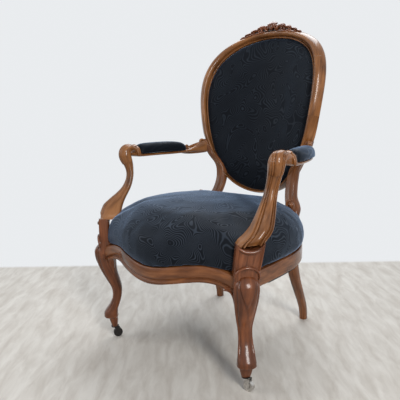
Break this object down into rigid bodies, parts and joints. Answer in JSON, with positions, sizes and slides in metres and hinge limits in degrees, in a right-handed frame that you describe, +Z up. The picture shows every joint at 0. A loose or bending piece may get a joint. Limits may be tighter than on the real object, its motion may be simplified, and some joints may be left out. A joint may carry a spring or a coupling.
{
  "type": "armchair",
  "caption": "Upholstered open armchair with an oval medallion back, carved crest, padded arms, cabriole front legs on casters and dark moire fabric",
  "frame": {"origin": "on the floor under the middle of the whole chair's box", "axes": "+X towards the sitter's left, +Y towards the back of the chair, +Z up"},
  "size_m": [0.6468, 0.7261, 1.0806],
  "materials": {
    "polished_wood": "french-polished mahogany or walnut, deep red-brown with honey highlights",
    "plain_wood": "unfinished hardwood",
    "moire_fabric": "near-black navy moire with fine contour lines",
    "backing_cloth": "plain navy cloth",
    "lining_cloth": "thin dark lining",
    "jute_webbing": "woven jute",
    "stuffing": "horsehair and tow",
    "spring_steel": "copper-washed spring wire",
    "caster_metal": "darkened iron",
    "caster_steel_wheel": "worn bright steel",
    "caster_black_wheel": "black iron"
  },
  "bodies": {
    "frame": {"front_leg_left": "polished_wood", "front_leg_right": "polished_wood", "rear_leg_left": "polished_wood", "rear_leg_right": "polished_wood", "front_seat_rail": "polished_wood", "side_seat_rail_left": "polished_wood", "side_seat_rail_right": "polished_wood", "back_seat_rail": "polished_wood", "back_top_rail": "polished_wood", "back_side_rail_left": "polished_wood", "back_side_rail_right": "polished_wood", "back_bottom_rail": "polished_wood", "crest_carving": "polished_wood", "arm_support_left": "polished_wood", "arm_support_right": "polished_wood", "arm_left": "polished_wood", "arm_right": "polished_wood", "front_corner_brace_left": "plain_wood", "front_corner_brace_right": "plain_wood", "rear_corner_brace_left": "plain_wood", "rear_corner_brace_right": "plain_wood", "arm_pad_left": "moire_fabric", "arm_pad_right": "moire_fabric", "seat_cover": "moire_fabric", "back_pad": "moire_fabric", "back_outside_cover": "backing_cloth", "seat_hessian": "lining_cloth", "seat_dust_cloth": "lining_cloth", "seat_webbing": "jute_webbing", "back_webbing": "jute_webbing", "seat_stuffing": "stuffing", "seat_springs": "spring_steel", "caster_plate_left": "caster_metal", "caster_plate_right": "caster_metal"},
    "caster_fork_left": {"caster_fork_left": "caster_metal", "caster_axle_left": "caster_metal"},
    "caster_wheel_left": {"caster_wheel_left": "caster_steel_wheel"},
    "caster_fork_right": {"caster_fork_right": "caster_metal", "caster_axle_right": "caster_metal"},
    "caster_wheel_right": {"caster_wheel_right": "caster_black_wheel"}
  },
  "joints": [
    {"name": "caster_left_swivel", "type": "hinge", "parent": "frame", "child": "caster_fork_left", "pos_m": [0.26701, -0.25281, 0.015], "axis": [0, 0, 1], "continuous": true},
    {"name": "caster_left_roll", "type": "hinge", "parent": "caster_fork_left", "child": "caster_wheel_left", "pos_m": [0.27701, -0.25281, 0.015], "axis": [0, 1, 0], "continuous": true},
    {"name": "caster_right_swivel", "type": "hinge", "parent": "frame", "child": "caster_fork_right", "pos_m": [-0.26701, -0.25281, 0.015], "axis": [0, 0, 1], "continuous": true},
    {"name": "caster_right_roll", "type": "hinge", "parent": "caster_fork_right", "child": "caster_wheel_right", "pos_m": [-0.26201, -0.24415, 0.015], "axis": [-0.866, 0.5, 0], "continuous": true}
  ]
}
